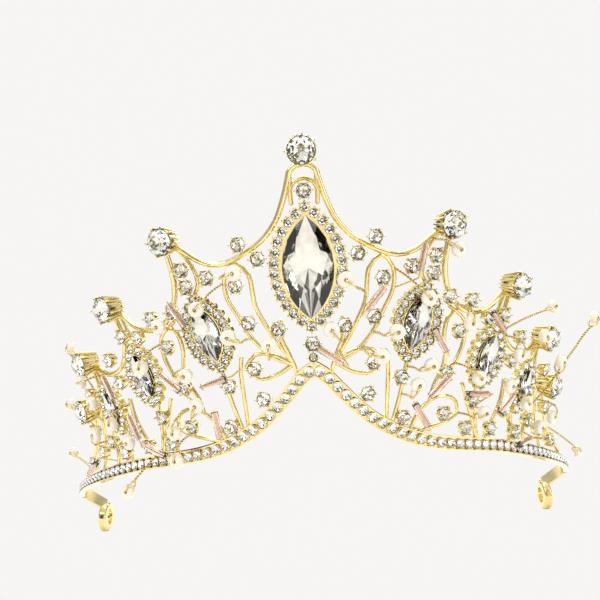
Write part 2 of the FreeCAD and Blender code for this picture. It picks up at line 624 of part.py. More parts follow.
CLAW_OFF = 0.3
for name, side in SIDES.items():
    spots = [spot(side * u, v, CLAW_OFF) for u, v in CLAWS]
    stones_and_cups(f"{name}_claw", claw_cup, claw_stone, "claw_cup_height", "claw_pocket", spots)
centre_spots = [spot(u, v, CLAW_OFF) for u, v in CENTRE_CLAWS]
apex = spot(*APEX_CLAW, CLAW_OFF)
apex_lift = FreeCAD.Placement(Vector(0, 0, size("halo_cup_rise") - size("halo_pocket")), FreeCAD.Rotation())
stones_and_cups("centre_claw", claw_cup, claw_stone, "claw_cup_height", "claw_pocket", centre_spots,
                [moved(halo_cup.Shape, apex)], [moved(moved(halo_stone.Shape, apex_lift), apex)])
PEAK_OFF = -0.8
peak_spots = [spot(*CREST, PEAK_OFF, 0.0, CREST_TIP)]
peak_spots += [spot(side * u, v, PEAK_OFF) for side in SIDES.values() for u, v in PEAKS]
stones_and_cups("peak", peak_cup, peak_stone, "peak_cup_height", "peak_pocket", peak_spots)


# ---------------------------------------------------------------- wired beads
def frame_points(side):
    """Places on the frame's wires where a bead wire can be lashed."""
    return [(side * u, v) for route in RAILS + SCROLLS for u, v in curve(route)]


CLAW_KEEP = 2.3                 # how near a stem may pass to a claw cup's middle,
PEAK_KEEP = 3.4                 # to a peak cup's,
SETTING_KEEP = 3.0              # to a side setting's stone,
CENTRE_KEEP = (3.2, 3.1)        # and to the centre stone, along it and across
STEM_SHARES = (0.4, 0.55, 0.7, 0.85, 1.0)


def stones_in_the_way(start, foot):
    """How many single stones or settings the low end of a bead's stem would pass through."""
    blocked = 0
    side = -1 if foot[0] < 0 else 1
    round_ones = [(side * u, v, CLAW_KEEP) for u, v in CLAWS]
    round_ones += [(side * u, v, PEAK_KEEP) for u, v in PEAKS]
    long_ones = [(side * u, v, side * spin,
                  size(f"{name}_length") / 2 + SETTING_KEEP, size(f"{name}_width") / 2 + SETTING_KEEP)
                 for name, u, v, spin, _ in SETTINGS]
    long_ones.append((*CENTRE, 0, size("centre_length") / 2 + CENTRE_KEEP[0],
                      size("centre_width") / 2 + CENTRE_KEEP[1]))
    for share in STEM_SHARES:
        u = start[0] + (foot[0] - start[0]) * share
        v = start[1] + (foot[1] - start[1]) * share
        blocked += sum(math.hypot(u - a, v - b) < reach for a, b, reach in round_ones)
        for a, b, spin, half_long, half_wide in long_ones:
            turn = math.radians(spin)
            across = (u - a) * math.cos(turn) + (v - b) * math.sin(turn)
            along = (v - b) * math.cos(turn) - (u - a) * math.sin(turn)
            blocked += math.hypot(across / half_wide, along / half_long) < 1
    return blocked


LASH_NEAREST = 3.4
LASH_FURTHEST = 11.0
BUGLE_NEAREST = 2.0


def lashing(u, v, nearest=LASH_NEAREST):
    """The place on the frame where a wire from (u, v) is lashed: clear of stones, and near."""
    side = -1 if u < 0 else 1

    def distance(p):
        return math.hypot(p[0] - u, p[1] - v)
    reachable = [p for p in frame_points(side) if nearest <= distance(p) <= LASH_FURTHEST]
    return min(reachable, key=lambda p: (stones_in_the_way((u, v), p), distance(p)))


def bead_frame(centre, foot, hole):
    """A bead's frame: Z along its hole and Y away from the foot of its stem."""
    z = hole.normalize()
    y = centre - foot
    y = (y - z * y.dot(z)).normalize()
    return FreeCAD.Placement(centre, FreeCAD.Rotation(y.cross(z), y, z, "ZXY"))


JOINT_DROP = 1.4                # from a bead's edge to the top of its stem
EYE_TAIL = 1.5                  # and to the ends of the wire through it
EYE_SHOULDER = 0.2              # where that wire turns in over the bead
EYE_SPLIT = 0.62                # of the wire's diameter, either side of the stem
STEM_OVERLAP = 0.4


def bead_wire(place, foot):
    """The wire through a bead: in at one face, out at the other, and both ends down to a stem."""
    reach = size("bead_dia") / 2
    face = size("bead_thickness") / 2 + size("wire_gap")
    split = size("bead_wire_dia") * EYE_SPLIT
    joint = place.multVec(Vector(0, -reach - JOINT_DROP, 0))
    tail, shoulder = -reach - EYE_TAIL, -reach - EYE_SHOULDER
    loop = [(tail, -split), (shoulder, -face), (0, -face), (0, face), (shoulder, face), (tail, split)]
    eye = tube([place.multVec(Vector(0, y, z)) for y, z in loop], size("bead_wire_dia"))
    start = joint + (joint - foot).normalize() * STEM_OVERLAP
    stem = tube([start, foot], size("stem_dia"))
    return Part.makeCompound([stem, eye])


def threaded(place):
    """A bead on its wire, centred in its frame."""
    centred = FreeCAD.Placement(Vector(0, 0, -size("bead_thickness") / 2), FreeCAD.Rotation())
    return moved(moved(bead.Shape, centred), place)


def bugle_parts(u1, v1, u2, v2):
    """A bugle between two places on the wall, and the wire that runs through it to the frame."""
    start, end = wall(u1, v1, BUGLE_OFF), wall(u2, v2, BUGLE_OFF)
    along = (end - start).normalize()
    middle = (start + end) * 0.5
    half = size("bugle_length") / 2
    turn = FreeCAD.Rotation(Vector(0, 0, 1), along)
    glass = moved(bugle.Shape, FreeCAD.Placement(middle - along * half, turn))
    tip, exit_end = middle - along * (half + BUGLE_TIP), middle + along * (half + BUGLE_EXIT)
    foot = wall(*lashing(u2, v2, BUGLE_NEAREST))
    wire = tube([tip, exit_end, foot], size("bead_wire_dia"))
    return glass, wire


for name in SIDES:
    beads, wires = [], []
    for u, v, *off in WHITE_BEADS[name]:
        foot = wall(*lashing(u, v))
        centre = wall(u, v, *(off or [BEAD_OFF]))
        place = bead_frame(centre, foot, centre - wall(u, v))
        beads.append(threaded(place))
        wires.append(bead_wire(place, foot))
    piece(f"{name}_white_beads", Part.makeCompound(beads))
    piece(f"{name}_bead_wires", Part.makeCompound(wires))
    glass, wires = zip(*[bugle_parts(*ends) for ends in BUGLES[name]])
    piece(f"{name}_bugle_beads", Part.makeCompound(list(glass)))
    piece(f"{name}_bugle_wires", Part.makeCompound(list(wires)))

sprig_wires = []
for node, (centre, foot, hole) in SPRIGS.items():
    foot = wall(*TWIG.get(foot, foot))
    place = bead_frame(wall(*centre), foot, Vector(*hole))
    piece(node, threaded(place))
    sprig_wires.append(bead_wire(place, foot))
sprig_wires.append(tube([wall(*TWIG["fork"]), wall(*TWIG["bend"]), wall(*TWIG_FOOT)], size("stem_dia")))
piece("sprig_wires", Part.makeCompound(sprig_wires))

# ---------------------------------------------------------------- check and write
doc.recompute()
for obj in doc.Objects:
    if {"Invalid", "Error"} & set(obj.State):
        raise RuntimeError(f"{obj.Label} failed: {obj.State}")
for obj in KEPT:
    if obj.Shape.isNull() or not obj.Shape.isValid() or not obj.Shape.Solids:
        raise RuntimeError(f"{obj.Label} has no valid solid")
os.makedirs("parts", exist_ok=True)
for obj in KEPT:
    obj.Shape.exportStep(f"parts/{obj.Label}.step")
    print(obj.Label, len(obj.Shape.Solids), round(obj.Shape.Volume, 2))
print(len(KEPT), "nodes")
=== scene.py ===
# %% [markdown]
# # A bridal crown
# The crown is a cast and brazed wire frame, plated in pale gold. It is set with foil-backed crystals and
# hung with milky beads on twisted wire. The CAD model gives every place and size; this lesson cuts the
# stones, bends the claws, twists the wires and makes the finishes, all in the CAD's own frame.

# %% Load the frame
import bmesh
import bpy
import math
import numpy as np
from mathutils import Matrix, Vector


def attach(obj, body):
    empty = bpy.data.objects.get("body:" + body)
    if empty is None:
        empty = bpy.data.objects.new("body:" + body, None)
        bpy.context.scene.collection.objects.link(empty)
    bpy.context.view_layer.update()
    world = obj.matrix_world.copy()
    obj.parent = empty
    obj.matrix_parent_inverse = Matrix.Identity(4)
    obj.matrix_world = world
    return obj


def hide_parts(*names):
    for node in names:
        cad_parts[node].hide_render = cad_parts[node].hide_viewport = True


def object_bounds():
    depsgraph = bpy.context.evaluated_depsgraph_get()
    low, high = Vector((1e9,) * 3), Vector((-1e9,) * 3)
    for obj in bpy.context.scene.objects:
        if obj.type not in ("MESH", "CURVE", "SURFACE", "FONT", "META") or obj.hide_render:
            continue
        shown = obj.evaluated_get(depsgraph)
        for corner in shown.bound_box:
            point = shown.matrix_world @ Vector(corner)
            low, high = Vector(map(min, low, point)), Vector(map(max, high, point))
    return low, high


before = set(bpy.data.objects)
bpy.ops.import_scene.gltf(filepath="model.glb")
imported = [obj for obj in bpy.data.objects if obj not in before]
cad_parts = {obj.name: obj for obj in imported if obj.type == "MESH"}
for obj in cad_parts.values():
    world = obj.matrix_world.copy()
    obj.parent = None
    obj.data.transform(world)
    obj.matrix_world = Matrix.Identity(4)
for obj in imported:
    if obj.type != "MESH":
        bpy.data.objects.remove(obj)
cad_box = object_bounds()
CROWN = "crown_frame"
MM = 0.001
print("nodes", len(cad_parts), "box", cad_box)

# %% [markdown]
# ## The camera
# The camera stands straight in front, a little above the seat, and looks up by a few degrees. It is rolled
# a little too. Its three axes are written out as they are, so nothing else has to aim it.

# %% Camera
FOCAL_LENGTH = 37.68
CAMERA_PLACE = Vector((0.92, -181.8, 26.93)) * MM
CAMERA_RIGHT = Vector((0.99804, 0.02670, -0.05656))
CAMERA_AHEAD = Vector((-0.02272, 0.99730, 0.06976))

camera_data = bpy.data.cameras.new("camera")
camera_data.lens = FOCAL_LENGTH
camera_data.sensor_width = 36.0
camera_data.clip_start = 0.01
camera = bpy.data.objects.new("camera", camera_data)
right = CAMERA_RIGHT.normalized()
ahead = (CAMERA_AHEAD - right * CAMERA_AHEAD.dot(right)).normalized()
axes = Matrix((right, right.cross(ahead), -ahead)).transposed()
camera.matrix_world = Matrix.Translation(CAMERA_PLACE) @ axes.to_4x4()
bpy.context.scene.collection.objects.link(camera)
bpy.context.scene.camera = camera
print("camera at", tuple(camera.location))

# %% [markdown]
# ## Colour and node helpers
# Colours are written as sRGB hex, the way a picker shows them, and one function turns them to the linear
# values that a shader wants. One more function adds a node with its settings and its links.

# %% Helpers


def linear(hex_colour):
    parts = [int(hex_colour[i:i + 2], 16) / 255 for i in (0, 2, 4)]
    return tuple(c / 12.92 if c <= 0.04045 else ((c + 0.055) / 1.055) ** 2.4 for c in parts) + (1.0,)


def add(tree, kind, settings=None, **inputs):
    """One node: `settings` are its properties, and the rest are sockets, each a value or a socket to link."""
    node = tree.nodes.new(kind)
    for key, value in (settings or {}).items():
        setattr(node, key, value)
    for key, value in inputs.items():
        socket = node.inputs[int(key[1:])] if key[1:].isdigit() else node.inputs[key.replace("_", " ")]
        if isinstance(value, bpy.types.NodeSocket):
            tree.links.new(value, socket)
        else:
            socket.default_value = value
    return node


def new_material(name):
    material = bpy.data.materials.new(name)
    material.use_nodes = True
    material.node_tree.nodes.clear()
    return material, material.node_tree


def finish_material(tree, **sockets):
    shader = add(tree, "ShaderNodeBsdfPrincipled", None, **sockets)
    add(tree, "ShaderNodeOutputMaterial", None, Surface=shader.outputs["BSDF"])


# %% [markdown]
# ## Pale gold plating
# The frame is cast zinc alloy and brass wire, flash-plated with pale gold and left bright. Gold is a metal,
# so its colour is all in its reflection. Plating pools a little darker in places and a casting is never
# quite smooth, so a slow noise shifts the colour and a fine one dents the surface by microns.

# %% Gold


TONE_PATCH = 6 * MM             # across a patch of lighter or darker plating
DENT_DEPTH = 0.03 * MM


def gold(name, light, deep, roughness, dent, grain_mm):
    material, tree = new_material(name)
    place = add(tree, "ShaderNodeTexCoord").outputs["Object"]
    slow = add(tree, "ShaderNodeTexNoise", None, Vector=place, Scale=1 / TONE_PATCH, Detail=2.0)
    fine = add(tree, "ShaderNodeTexNoise", None, Vector=place, Scale=1 / (grain_mm * MM), Detail=3.0)
    tone = add(tree, "ShaderNodeMix", {"data_type": "RGBA"}, _0=slow.outputs["Fac"])
    tone.inputs[6].default_value = linear(light)
    tone.inputs[7].default_value = linear(deep)
    gloss = add(tree, "ShaderNodeMapRange", None, Value=slow.outputs["Fac"],
                To_Min=roughness * 0.6, To_Max=roughness * 1.5)
    bump = add(tree, "ShaderNodeBump", None, Height=fine.outputs["Fac"], Strength=dent,
               Distance=DENT_DEPTH)
    finish_material(tree, Base_Color=tone.outputs[2], Metallic=1.0, Roughness=gloss.outputs["Result"],
                    Normal=bump.outputs["Normal"])
    return material


bright_gold = gold("bright_pale_gold_plating", "F6EAB8", "E0CB80", 0.14, 0.25, 0.9)
satin_gold = gold("satin_pale_gold_plating", "F2E6B8", "E0CC90", 0.34, 0.5, 0.25)
wire_gold = gold("drawn_gold_wire", "EEDD9C", "D6B968", 0.2, 0.3, 0.3)
print("gold finishes made")

# %% [markdown]
# ## Crystal and its foil
# Each stone is pressed and polished lead glass with silver foil on its back. The glass bends the light and
# the foil sends it back out, which is why some facets are white and others nearly black. Both are real
# here: a clear glass stone, and a mirror that lies just behind its pavilion.

# %% Crystal


def crystal_glass():
    material, tree = new_material("foil_backed_crystal_glass")
    finish_material(tree, Base_Color=linear("FAFBFC"), Roughness=0.0, IOR=1.58, Transmission_Weight=1.0)
    return material


def silver_foil():
    material, tree = new_material("silver_stone_foil")
    place = add(tree, "ShaderNodeTexCoord").outputs["Object"]
    clouds = add(tree, "ShaderNodeTexNoise", None, Vector=place, Scale=1 / (1.4 * MM), Detail=1.0)
    tone = add(tree, "ShaderNodeMix", {"data_type": "RGBA"}, _0=clouds.outputs["Fac"])
    tone.inputs[6].default_value = linear("FAF8F0")
    tone.inputs[7].default_value = linear("E6E1D2")
    finish_material(tree, Base_Color=tone.outputs[2], Metallic=1.0, Roughness=0.08)
    return material


crystal = crystal_glass()
foil = silver_foil()
print("crystal made")

# %% [markdown]
# ## Milk-white beads and lined bugles
# The round beads are pressed opal glass with a soft pearl gloss: light goes a little way in, so the edge
# glows. The bugles are clear tubes whose bore is lined with copper-pink, and that lining gives them colour.

# %% Beads' finishes


def opal_bead():
    material, tree = new_material("pressed_opal_glass")
    place = add(tree, "ShaderNodeTexCoord").outputs["Object"]
    clouds = add(tree, "ShaderNodeTexNoise", None, Vector=place, Scale=1 / (1.8 * MM), Detail=2.0)
    tone = add(tree, "ShaderNodeMix", {"data_type": "RGBA"}, _0=clouds.outputs["Fac"])
    tone.inputs[6].default_value = linear("F2ECDF")
    tone.inputs[7].default_value = linear("E2D9C6")
    finish_material(tree, Base_Color=tone.outputs[2], Roughness=0.22, Subsurface_Weight=0.35,
                    Subsurface_Scale=0.6 * MM, Coat_Weight=0.5, Coat_Roughness=0.08)
    return material


def clear_glass():
    material, tree = new_material("clear_bugle_glass")
    finish_material(tree, Base_Color=linear("FBF1EA"), Roughness=0.03, IOR=1.5, Transmission_Weight=1.0)
    return material


def copper_lining():
    material, tree = new_material("copper_pink_lining")
    place = add(tree, "ShaderNodeTexCoord").outputs["Object"]
    streaks = add(tree, "ShaderNodeTexNoise", None, Vector=place, Scale=1 / (0.8 * MM), Detail=2.0)
    tone = add(tree, "ShaderNodeMix", {"data_type": "RGBA"}, _0=streaks.outputs["Fac"])
    tone.inputs[6].default_value = linear("F5E0D0")
    tone.inputs[7].default_value = linear("D9B097")
    finish_material(tree, Base_Color=tone.outputs[2], Metallic=1.0, Roughness=0.3)
    return material


opal = opal_bead()
bugle_glass = clear_glass()
lining = copper_lining()
print("bead finishes made")

# %% [markdown]
# ## Where the stones sit
# A node of the CAD model may hold dozens of stones. Each is a separate shell of triangles, so flooding out
# from corner to corner finds them one by one. A round stone is wider than it is tall, so the thinnest
# direction of its corners is its axis, and the narrow end of it is the table.

# %% Reading places from the CAD


MERGE = 1e-7                    # metres: corners nearer than this are one


def merged(node):
    """A CAD node's mesh, copied, with its loose triangles joined at their corners."""
    shape = bmesh.new()
    shape.from_mesh(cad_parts[node].data)
    bmesh.ops.remove_doubles(shape, verts=shape.verts, dist=MERGE)
    return shape


def solids_of(shape):
    """The separate solids of a mesh: each a list of its corners, found by flooding along the edges."""
    seen, found = set(), []
    for first in shape.verts:
        if first in seen:
            continue
        seen.add(first)
        group, edge = [first], [first]
        while edge:
            corner = edge.pop()
            for link in corner.link_edges:
                other = link.other_vert(corner)
                if other not in seen:
                    seen.add(other)
                    group.append(other)
                    edge.append(other)
        found.append(group)
    return found


def shells(node):
    """The separate solids of a CAD node: each an array of its corners."""
    shape = merged(node)
    found = [np.array([v.co for v in group]) for group in solids_of(shape)]
    shape.free()
    return found


def main_axes(points):
    """The corners' middle, and their long, middling and thin directions."""
    middle = points.mean(axis=0)
    return middle, np.linalg.svd(points - middle, full_matrices=False)[2]


TABLE_EDGE = 0.8                # of a CAD stone's radius: only its table's corners lie inside this


def round_seat(points):
    """A round stone's seat: the middle of its flat back, its axis towards the table, and its radius."""
    middle, directions = main_axes(points)
    axis = directions[2]
    up = (points - middle) @ axis
    out = np.linalg.norm(points - middle - np.outer(up, axis), axis=1)
    if up[out < TABLE_EDGE * out.max()].mean() < 0:
        axis, up = -axis, -up
    return Vector(middle + axis * up.min()), Vector(axis), float(out.max())


def seats(*nodes):
    return [round_seat(points) for node in nodes for points in shells(node)]


SIDES = ("left", "right")
SETTINGS = ["centre"] + [f"{side}_{name}" for side in SIDES for name in ("inner", "middle", "outer")]
claw_seats = seats("left_claw_stones", "right_claw_stones", "centre_claw_stones")
peak_seats = seats("peak_stones")
band_seats = seats("left_band_stones", "right_band_stones")
halo_seats = {name: seats(f"{name}_halo_stones") for name in SETTINGS}
print("claw", len(claw_seats), "peak", len(peak_seats), "band", len(band_seats),
      "halo", sum(map(len, halo_seats.values())))

# %% [markdown]
# ## One tree that sets a thing on every seat
# Two hundred stones differ only in place and size, so a Geometry Nodes tree puts one template on each seat.
# The seats are points that carry the way they face, a second direction and a size. The tree ends by
# realizing the instances and setting the material, and the result is kept as a plain mesh.

# %% The setting tree


def setting_tree():
    tree = bpy.data.node_groups.new("set_on_seats", "GeometryNodeTree")
    face = tree.interface
    face.new_socket("Geometry", in_out="INPUT", socket_type="NodeSocketGeometry")
    face.new_socket("Template", in_out="INPUT", socket_type="NodeSocketObject")
    face.new_socket("Scale", in_out="INPUT", socket_type="NodeSocketFloat")
    face.new_socket("Material", in_out="INPUT", socket_type="NodeSocketMaterial")
    face.new_socket("Geometry", in_out="OUTPUT", socket_type="NodeSocketGeometry")
    given = add(tree, "NodeGroupInput").outputs
    template = add(tree, "GeometryNodeObjectInfo", None, Object=given["Template"])
    facing = add(tree, "GeometryNodeInputNamedAttribute", {"data_type": "FLOAT_VECTOR"}, Name="facing")
    aside = add(tree, "GeometryNodeInputNamedAttribute", {"data_type": "FLOAT_VECTOR"}, Name="aside")
    size = add(tree, "GeometryNodeInputNamedAttribute", {"data_type": "FLOAT"}, Name="size")
    turn = add(tree, "FunctionNodeAxesToRotation", {"primary_axis": "Z", "secondary_axis": "X"},
               _0=facing.outputs["Attribute"], _1=aside.outputs["Attribute"])
    scale = add(tree, "ShaderNodeMath", {"operation": "MULTIPLY"}, _0=size.outputs["Attribute"],
                _1=given["Scale"])
    points = add(tree, "GeometryNodeMeshToPoints", None, Mesh=given["Geometry"])
    placed = add(tree, "GeometryNodeInstanceOnPoints", None, Points=points.outputs["Points"],
                 Instance=template.outputs["Geometry"], Rotation=turn.outputs["Rotation"],
                 Scale=scale.outputs["Value"])
    real = add(tree, "GeometryNodeRealizeInstances", None, Geometry=placed.outputs["Instances"])
    dressed = add(tree, "GeometryNodeSetMaterial", None, Geometry=real.outputs["Geometry"],
                  Material=given["Material"])
    add(tree, "NodeGroupOutput", None, Geometry=dressed.outputs["Geometry"])
    return tree


SET_ON_SEATS = setting_tree()


def linked(name, mesh):
    obj = bpy.data.objects.new(name, mesh)
    bpy.context.scene.collection.objects.link(obj)
    return obj


def run_tree(name, start, tree, **inputs):
    """Runs a tree on a starting object, and gives its result as a plain mesh object."""
    modifier = start.modifiers.new("tree", "NODES")
    modifier.node_group = tree
    for item in tree.interface.items_tree:
        if item.in_out == "INPUT" and item.name in inputs:
            modifier[item.identifier] = inputs[item.name]
    bpy.context.view_layer.update()
    graph = bpy.context.evaluated_depsgraph_get()
    mesh = bpy.data.meshes.new_from_object(start.evaluated_get(graph), preserve_all_data_layers=True,
                                           depsgraph=graph)
    bpy.data.objects.remove(start)
    mesh.name = name
    return linked(name, mesh)


def on_seats(name, template_mesh, places, material, scale=1.0, sized=True):
    """The template on each place: (point, facing, radius) or (point, facing, radius, aside)."""
    points = bpy.data.meshes.new(name + "_seats")
    points.from_pydata([p[0] for p in places], [], [])
    rows = {"facing": [], "aside": []}
    for place in places:
        rows["facing"].append(place[1])
        rows["aside"].append(place[3] if len(place) > 3 else place[1].cross(Vector((0, 0, 1))))
    for key, vectors in rows.items():
        data = points.attributes.new(key, "FLOAT_VECTOR", "POINT").data
        data.foreach_set("vector", np.array(vectors, np.float32).ravel())
    sizes = [place[2] if sized else 1.0 for place in places]
    points.attributes.new("size", "FLOAT", "POINT").data.foreach_set("value", np.array(sizes, np.float32))
    template = linked(name + "_template", template_mesh)
    made = run_tree(name, linked(name + "_points", points), SET_ON_SEATS,
                    Template=template, Scale=scale, Material=material)
    bpy.data.objects.remove(template)
    print(name, len(places), "places", len(made.data.polygons), "faces")
    return made


def crown_piece(obj, slot, *nodes):
    """Attaches a finished piece to the crown's body, and hides what it stands for."""
    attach(obj, CROWN)
    if nodes:
        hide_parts(*nodes)
    return obj


# %% [markdown]
# ## Cutting a stone
# A round chaton has a flat table, eight stars, eight kites and sixteen girdle facets, and a pavilion of
# eight mains below. The same cut stretched along an outline gives the pointed ovals. The kites come out
# flat when the stars' corners lie in the plane through the table and the girdle.

# %% The cut

TABLE = 0.54                    # of the stone's radius
STAR = 0.72
PAVILION_STAR = 0.48
HALF_STEP = math.cos(math.radians(22.5))


def round_outline(n):
    """A point of the girdle: n of 16 steps."""
    turn = math.radians(22.5 * n)
    return math.cos(turn), math.sin(turn)


def brilliant(name, outline, girdle, crown, depth, table_share=TABLE, star_share=STAR):
    """A closed stone: its girdle from z = 0 up to `girdle`, its crown above and its pavilion below."""
    star_rise = crown * (1 - star_share * HALF_STEP) / (1 - table_share)
    lower_rise = -depth * (1 - PAVILION_STAR * HALF_STEP)
    rings = [
        [(n, table_share, girdle + crown) for n in range(0, 16, 2)],
        [(n, star_share, girdle + star_rise) for n in range(1, 16, 2)],
        [(n, 1.0, girdle) for n in range(16)],
        [(n, 1.0, 0.0) for n in range(16)],
        [(n, PAVILION_STAR, lower_rise) for n in range(1, 16, 2)],
    ]
    corners = [(outline(n)[0] * share, outline(n)[1] * share, z) for ring in rings for n, share, z in ring]
    corners.append((0.0, 0.0, -depth))
    table, star, top, low, lower = 0, 8, 16, 32, 48
    culet = 56
    faces = [tuple(range(8))]
    for k in range(8):
        after, g = (k + 1) % 8, 2 * k
        before = (k - 1) % 8
        faces.append((table + k, star + k, table + after))
        faces.append((table + k, star + before, top + g, star + k))
        faces.append((star + k, top + g, top + g + 1))
        faces.append((star + k, top + g + 1, top + (g + 2) % 16))
        faces.append((culet, lower + k, low + g, lower + before))
        faces.append((lower + k, low + g + 1, low + g))
        faces.append((lower + k, low + (g + 2) % 16, low + g + 1))
    for n in range(16):
        after = (n + 1) % 16
        faces.append((top + n, low + n, low + after, top + after))
    mesh = bpy.data.meshes.new(name)
    mesh.from_pydata(corners, [], faces)
    shape = bmesh.new()
    shape.from_mesh(mesh)
    bmesh.ops.recalc_face_normals(shape, faces=shape.faces)
    shape.to_mesh(mesh)
    shape.free()
    return mesh


PAVILION_FACING = -0.05         # a pavilion's facets face down by more than this


def foil_under(name, stone_mesh, gap):
    """The foil: a stone's pavilion, just behind it and facing up."""
    shape = bmesh.new()
    shape.from_mesh(stone_mesh)
    not_pavilion = [f for f in shape.faces if f.normal.z > PAVILION_FACING]
    bmesh.ops.delete(shape, geom=not_pavilion, context="FACES")
    for corner in shape.verts:
        corner.co.z -= gap
    bmesh.ops.reverse_faces(shape, faces=shape.faces)
    mesh = bpy.data.meshes.new(name)
    shape.to_mesh(mesh)
    shape.free()
    return mesh


GIRDLE = 0.06                   # shares of the radius, as the stones are cut
CROWN_RISE = 0.46
SHALLOW = 0.40                  # pavilion of a stone glued on a floor
DEEP = 0.62                     # pavilion of a stone held up in claws
FOIL_GAP = 0.012
SHALLOW_RISE = 0.44             # of the radius, from a seat up to the girdle
DEEP_RISE = 0.34
NAVETTE_TABLE = 0.40
NAVETTE_STAR = 0.66
NAVETTE_GIRDLE = 0.25 * MM
NAVETTE_FOIL_GAP = 0.02 * MM
NAVETTE_CROWN = 0.26            # of half the width
NAVETTE_DEPTH = 0.40            # of the room under the girdle, since a deep back turns dark at the points


def lifted(places, share):
    """The same seats, raised by a share of each stone's radius."""
    return [(p[0] + p[1] * p[2] * share, *p[1:]) for p in places]


def set_stones(label, places, depth, rise, slot_nodes):
    raised = lifted(places, rise)
    stone = brilliant(label + "_cut", round_outline, GIRDLE, CROWN_RISE, depth)
    crown_piece(on_seats(label, stone, raised, crystal), "crystal", *slot_nodes)
    backing = foil_under(label + "_back", stone, FOIL_GAP)
    crown_piece(on_seats(label + "_foil", backing, raised, foil), "crystal")


all_halo = [seat for name in SETTINGS for seat in halo_seats[name]]
set_stones("band_crystals", band_seats, SHALLOW, SHALLOW_RISE, ["left_band_stones", "right_band_stones"])
set_stones("halo_crystals", all_halo, SHALLOW, SHALLOW_RISE,
           [f"{name}_halo_stones" for name in SETTINGS])
set_stones("claw_crystals", claw_seats, DEEP, DEEP_RISE,
           ["left_claw_stones", "right_claw_stones", "centre_claw_stones"])
set_stones("peak_crystals", peak_seats, DEEP, DEEP_RISE, ["peak_stones"])

# %% [markdown]
# ## The pointed ovals
# A navette is the shape that two circles share. Its girdle is walked in sixteen steps from point to point,
# and the cut follows. Length, width, height and lie of each all come from its own CAD stone.

# %% Navettes


def navette_outline(half_long, half_wide):
    radius = (half_long ** 2 + half_wide ** 2) / (2 * half_wide)
    reach = math.asin(half_long / radius)

    def outline(n):
        side = 1 if n <= 8 else -1
        turn = -reach if n == 8 else reach * (1 - (n % 8) / 4)
        along = radius * math.sin(turn) * side
        across = side * (radius * math.cos(turn) - (radius - half_wide))
        return along, -across
    return outline


POINT_SHARE = 0.97              # of half the length: only the two points lie beyond this


def navette(name):
    points = shells(f"{name}_marquise_stone")[0]
    middle, (long, wide, axis) = main_axes(points)
    up = (points - middle) @ axis
    across = np.abs((points - middle) @ long)
    if up[across > POINT_SHARE * across.max()].mean() > 0:
        axis, up = -axis, -up
    along, sideways = Vector(long), Vector(axis).cross(Vector(long))
    half_long = float(across.max())
    half_wide = float(np.abs((points - middle) @ np.array(sideways)).max())
    height = float(up.max() - up.min())
    crown = NAVETTE_CROWN * half_wide
    girdle = NAVETTE_GIRDLE
    depth = NAVETTE_DEPTH * (height - crown - girdle)
    stone = brilliant(f"{name}_navette", navette_outline(half_long, half_wide), girdle, crown, depth,
                      NAVETTE_TABLE, NAVETTE_STAR)
    backing = foil_under(f"{name}_navette_foil", stone, NAVETTE_FOIL_GAP)
    seat = Vector(middle + axis * (up.max() - crown - girdle))
    turn = Matrix((along, sideways, Vector(axis))).transposed().to_4x4()
    for mesh, material in ((stone, crystal), (backing, foil)):
        mesh.transform(Matrix.Translation(seat) @ turn)
        mesh.materials.append(material)
    crown_piece(linked(f"{name}_navette", stone), "crystal", f"{name}_marquise_stone")
    crown_piece(linked(f"{name}_navette_foil", backing), "crystal")
    print(name, "navette", round(2000 * half_long, 1), "by", round(2000 * half_wide, 1), "mm")


for name in SETTINGS:
    navette(name)

# %% [markdown]
# ## Claws and baskets
# A single stone stands in a little basket: a cup with a fluted wall, and prongs that run up its side and
# bend in over the girdle. The peaks have tall ones with parallel ribs. One function bends a prong along a
# profile, and another stands them round a cup.

# %% Baskets


PRONG_TIP = 0.6                 # a prong's end over its thickness


def bar(shape, path, radius, sides=6):
    """A rounded wire through the points, tapered at its far end."""
    rings = []
    for n, point in enumerate(path):
        before, after = path[max(n - 1, 0)], path[min(n + 1, len(path) - 1)]
        way = (after - before).normalized()
        aside = Vector((0, 0, 1)).cross(point).normalized()
        up = way.cross(aside)
        thick = radius * (PRONG_TIP if n == len(path) - 1 else 1.0)
        turns = [2 * math.pi * k / sides for k in range(sides)]
        spokes = [aside * math.cos(t) + up * math.sin(t) for t in turns]
        rings.append([shape.verts.new(point + spoke * thick) for spoke in spokes])
    for low, high in zip(rings, rings[1:]):
        for k in range(sides):
            shape.faces.new((low[k], low[(k + 1) % sides], high[(k + 1) % sides], high[k]))
    shape.faces.new(rings[0][::-1])
    shape.faces.new(rings[-1])


def turned(shape, profile, segments=20):
    """A wall turned round Z from (radius, height) pairs, closed at both ends."""
    turns = [2 * math.pi * k / segments for k in range(segments)]
    rings = [[shape.verts.new((r * math.cos(t), r * math.sin(t), z)) for t in turns] for r, z in profile]
    for low, high in zip(rings, rings[1:]):
        for k in range(segments):
            shape.faces.new((low[k], low[(k + 1) % segments], high[(k + 1) % segments], high[k]))
    shape.faces.new(rings[0][::-1])
    shape.faces.new(rings[-1])


CORNER = math.radians(70)       # a steeper turn than this is an edge, not a round


def finished(shape, name, smooth=True):
    bmesh.ops.recalc_face_normals(shape, faces=shape.faces)
    mesh = bpy.data.meshes.new(name)
    shape.to_mesh(mesh)
    shape.free()
    if smooth:
        mesh.shade_smooth()
        mesh.set_sharp_from_angle(angle=CORNER)
    return mesh


